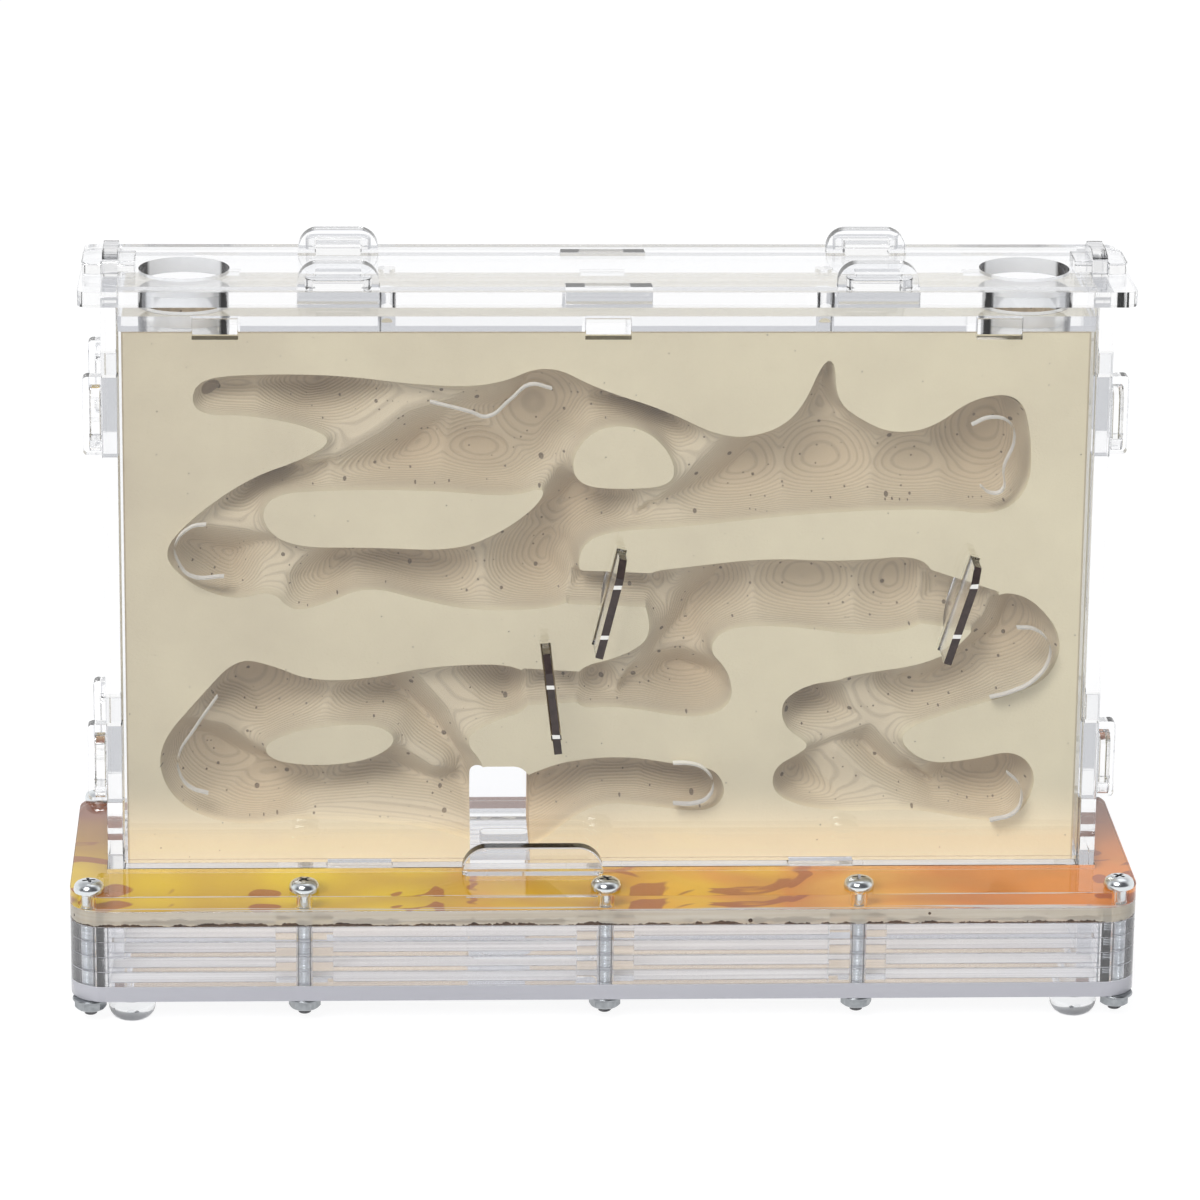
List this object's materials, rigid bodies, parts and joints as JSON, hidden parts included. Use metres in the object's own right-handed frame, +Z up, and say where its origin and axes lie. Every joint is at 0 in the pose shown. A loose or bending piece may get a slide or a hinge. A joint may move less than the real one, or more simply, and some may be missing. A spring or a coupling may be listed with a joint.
{
  "type": "ant habitat",
  "caption": "ant habitat with a carved plaster nest between clear walls, a lid with ports held by keys, sliding gates and a screwed base chamber on rubber feet",
  "frame": {"origin": "on the floor under the feet, below the middle of the base", "axes": "+X along the base, +Y from the front to the back, +Z up"},
  "size_m": [0.27, 0.079, 0.1915],
  "materials": {
    "clear_acrylic": "polished clear acrylic sheet, laser cut",
    "milky_acrylic": "milky white acrylic sheet",
    "printed_acrylic": "clear acrylic sheet with a translucent print underneath",
    "zinc_steel": "bright zinc plated steel",
    "foot_rubber": "clear rubber bumper",
    "plaster": "cast plaster, carved by milling"
  },
  "bodies": {
    "body": {"back_panel": "clear_acrylic", "base_ring_1": "clear_acrylic", "base_ring_2": "clear_acrylic", "base_ring_3": "clear_acrylic", "base_ring_4": "clear_acrylic", "base_ring_5": "clear_acrylic", "bottom_plate": "milky_acrylic", "ceiling_plate": "clear_acrylic", "clamp_nuts": "zinc_steel", "clamp_screws": "zinc_steel", "floor_plate": "clear_acrylic", "foot_back_left": "foot_rubber", "foot_back_right": "foot_rubber", "foot_front_left": "foot_rubber", "foot_front_right": "foot_rubber", "front_panel": "clear_acrylic", "left_panel": "clear_acrylic", "lid": "clear_acrylic", "plaster_nest": "plaster", "printed_plate": "printed_acrylic", "right_panel": "clear_acrylic"},
    "lid_key_back_left": {"lid_key_back_left": "clear_acrylic"},
    "lid_key_back_right": {"lid_key_back_right": "clear_acrylic"},
    "lid_key_front_left": {"lid_key_front_left": "clear_acrylic"},
    "lid_key_front_right": {"lid_key_front_right": "clear_acrylic"},
    "lid_key_left": {"lid_key_left": "clear_acrylic"},
    "lid_key_right": {"lid_key_right": "clear_acrylic"},
    "nest_gate_left": {"nest_gate_left": "clear_acrylic"},
    "nest_gate_right": {"nest_gate_right": "clear_acrylic"},
    "nest_gate_upper": {"nest_gate_upper": "clear_acrylic"},
    "passage_gate": {"passage_gate": "clear_acrylic"},
    "wall_key_back_left_lower": {"wall_key_back_left_lower": "clear_acrylic"},
    "wall_key_back_left_upper": {"wall_key_back_left_upper": "clear_acrylic"},
    "wall_key_back_right_lower": {"wall_key_back_right_lower": "clear_acrylic"},
    "wall_key_back_right_upper": {"wall_key_back_right_upper": "clear_acrylic"},
    "wall_key_front_left_lower": {"wall_key_front_left_lower": "clear_acrylic"},
    "wall_key_front_left_upper": {"wall_key_front_left_upper": "clear_acrylic"},
    "wall_key_front_right_lower": {"wall_key_front_right_lower": "clear_acrylic"},
    "wall_key_front_right_upper": {"wall_key_front_right_upper": "clear_acrylic"}
  },
  "joints": [
    {"name": "lid_key_back_left_slide", "type": "slide", "parent": "body", "child": "lid_key_back_left", "axis": [0, 1, 0], "range_m": [0, 0.014]},
    {"name": "lid_key_back_right_slide", "type": "slide", "parent": "body", "child": "lid_key_back_right", "axis": [0, 1, 0], "range_m": [0, 0.014]},
    {"name": "lid_key_front_left_slide", "type": "slide", "parent": "body", "child": "lid_key_front_left", "axis": [0, -1, 0], "range_m": [0, 0.014]},
    {"name": "lid_key_front_right_slide", "type": "slide", "parent": "body", "child": "lid_key_front_right", "axis": [0, -1, 0], "range_m": [0, 0.014]},
    {"name": "lid_key_left_slide", "type": "slide", "parent": "body", "child": "lid_key_left", "axis": [-1, 0, 0], "range_m": [0, 0.014]},
    {"name": "lid_key_right_slide", "type": "slide", "parent": "body", "child": "lid_key_right", "axis": [1, 0, 0], "range_m": [0, 0.014]},
    {"name": "nest_gate_left_slide", "type": "slide", "parent": "body", "child": "nest_gate_left", "axis": [0, -1, 0], "range_m": [0, 0.026]},
    {"name": "nest_gate_right_slide", "type": "slide", "parent": "body", "child": "nest_gate_right", "axis": [0, -1, 0], "range_m": [0, 0.026]},
    {"name": "nest_gate_upper_slide", "type": "slide", "parent": "body", "child": "nest_gate_upper", "axis": [0, -1, 0], "range_m": [0, 0.026]},
    {"name": "passage_gate_slide", "type": "slide", "parent": "body", "child": "passage_gate", "axis": [0, 0, 1], "range_m": [0, 0.024]},
    {"name": "wall_key_back_left_lower_slide", "type": "slide", "parent": "body", "child": "wall_key_back_left_lower", "axis": [0, 1, 0], "range_m": [0, 0.014]},
    {"name": "wall_key_back_left_upper_slide", "type": "slide", "parent": "body", "child": "wall_key_back_left_upper", "axis": [0, 1, 0], "range_m": [0, 0.014]},
    {"name": "wall_key_back_right_lower_slide", "type": "slide", "parent": "body", "child": "wall_key_back_right_lower", "axis": [0, 1, 0], "range_m": [0, 0.014]},
    {"name": "wall_key_back_right_upper_slide", "type": "slide", "parent": "body", "child": "wall_key_back_right_upper", "axis": [0, 1, 0], "range_m": [0, 0.014]},
    {"name": "wall_key_front_left_lower_slide", "type": "slide", "parent": "body", "child": "wall_key_front_left_lower", "axis": [0, -1, 0], "range_m": [0, 0.014]},
    {"name": "wall_key_front_left_upper_slide", "type": "slide", "parent": "body", "child": "wall_key_front_left_upper", "axis": [0, -1, 0], "range_m": [0, 0.014]},
    {"name": "wall_key_front_right_lower_slide", "type": "slide", "parent": "body", "child": "wall_key_front_right_lower", "axis": [0, -1, 0], "range_m": [0, 0.014]},
    {"name": "wall_key_front_right_upper_slide", "type": "slide", "parent": "body", "child": "wall_key_front_right_upper", "axis": [0, -1, 0], "range_m": [0, 0.014]}
  ]
}
